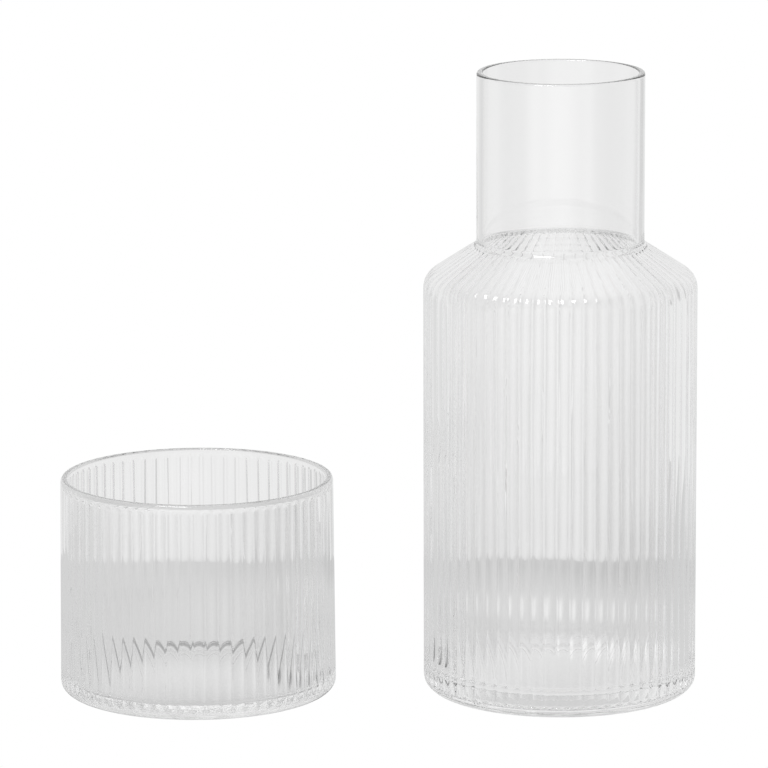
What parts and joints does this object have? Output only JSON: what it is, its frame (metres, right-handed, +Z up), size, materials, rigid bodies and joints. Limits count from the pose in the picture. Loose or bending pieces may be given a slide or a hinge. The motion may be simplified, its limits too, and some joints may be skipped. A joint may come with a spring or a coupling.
{
  "type": "carafe with tumbler",
  "caption": "Bedside carafe in ribbed clear glass with a plain straight neck, and a low ribbed tumbler that also fits over the neck as its lid.",
  "frame": {"origin": "on the table, at the centre of the box around the two pieces, halfway along the pair", "axes": "+Z up along the carafe's neck, +X from the tumbler towards the carafe, +Y away from the viewer across the narrow way of the pair"},
  "size_m": [0.2034, 0.0882, 0.2],
  "materials": {
    "carafe_glass": "clear soda-lime glass, blown in a ribbed mould",
    "tumbler_glass": "clear soda-lime glass, blown in a ribbed mould, with a fire-polished rim"
  },
  "bodies": {
    "carafe": {"carafe": "carafe_glass"},
    "tumbler": {"tumbler": "tumbler_glass"}
  },
  "joints": [
    {"name": "tumbler_lift", "type": "slide", "parent": "carafe", "child": "tumbler", "axis": [0, 0, 1], "range_m": [0, 0.22]}
  ]
}
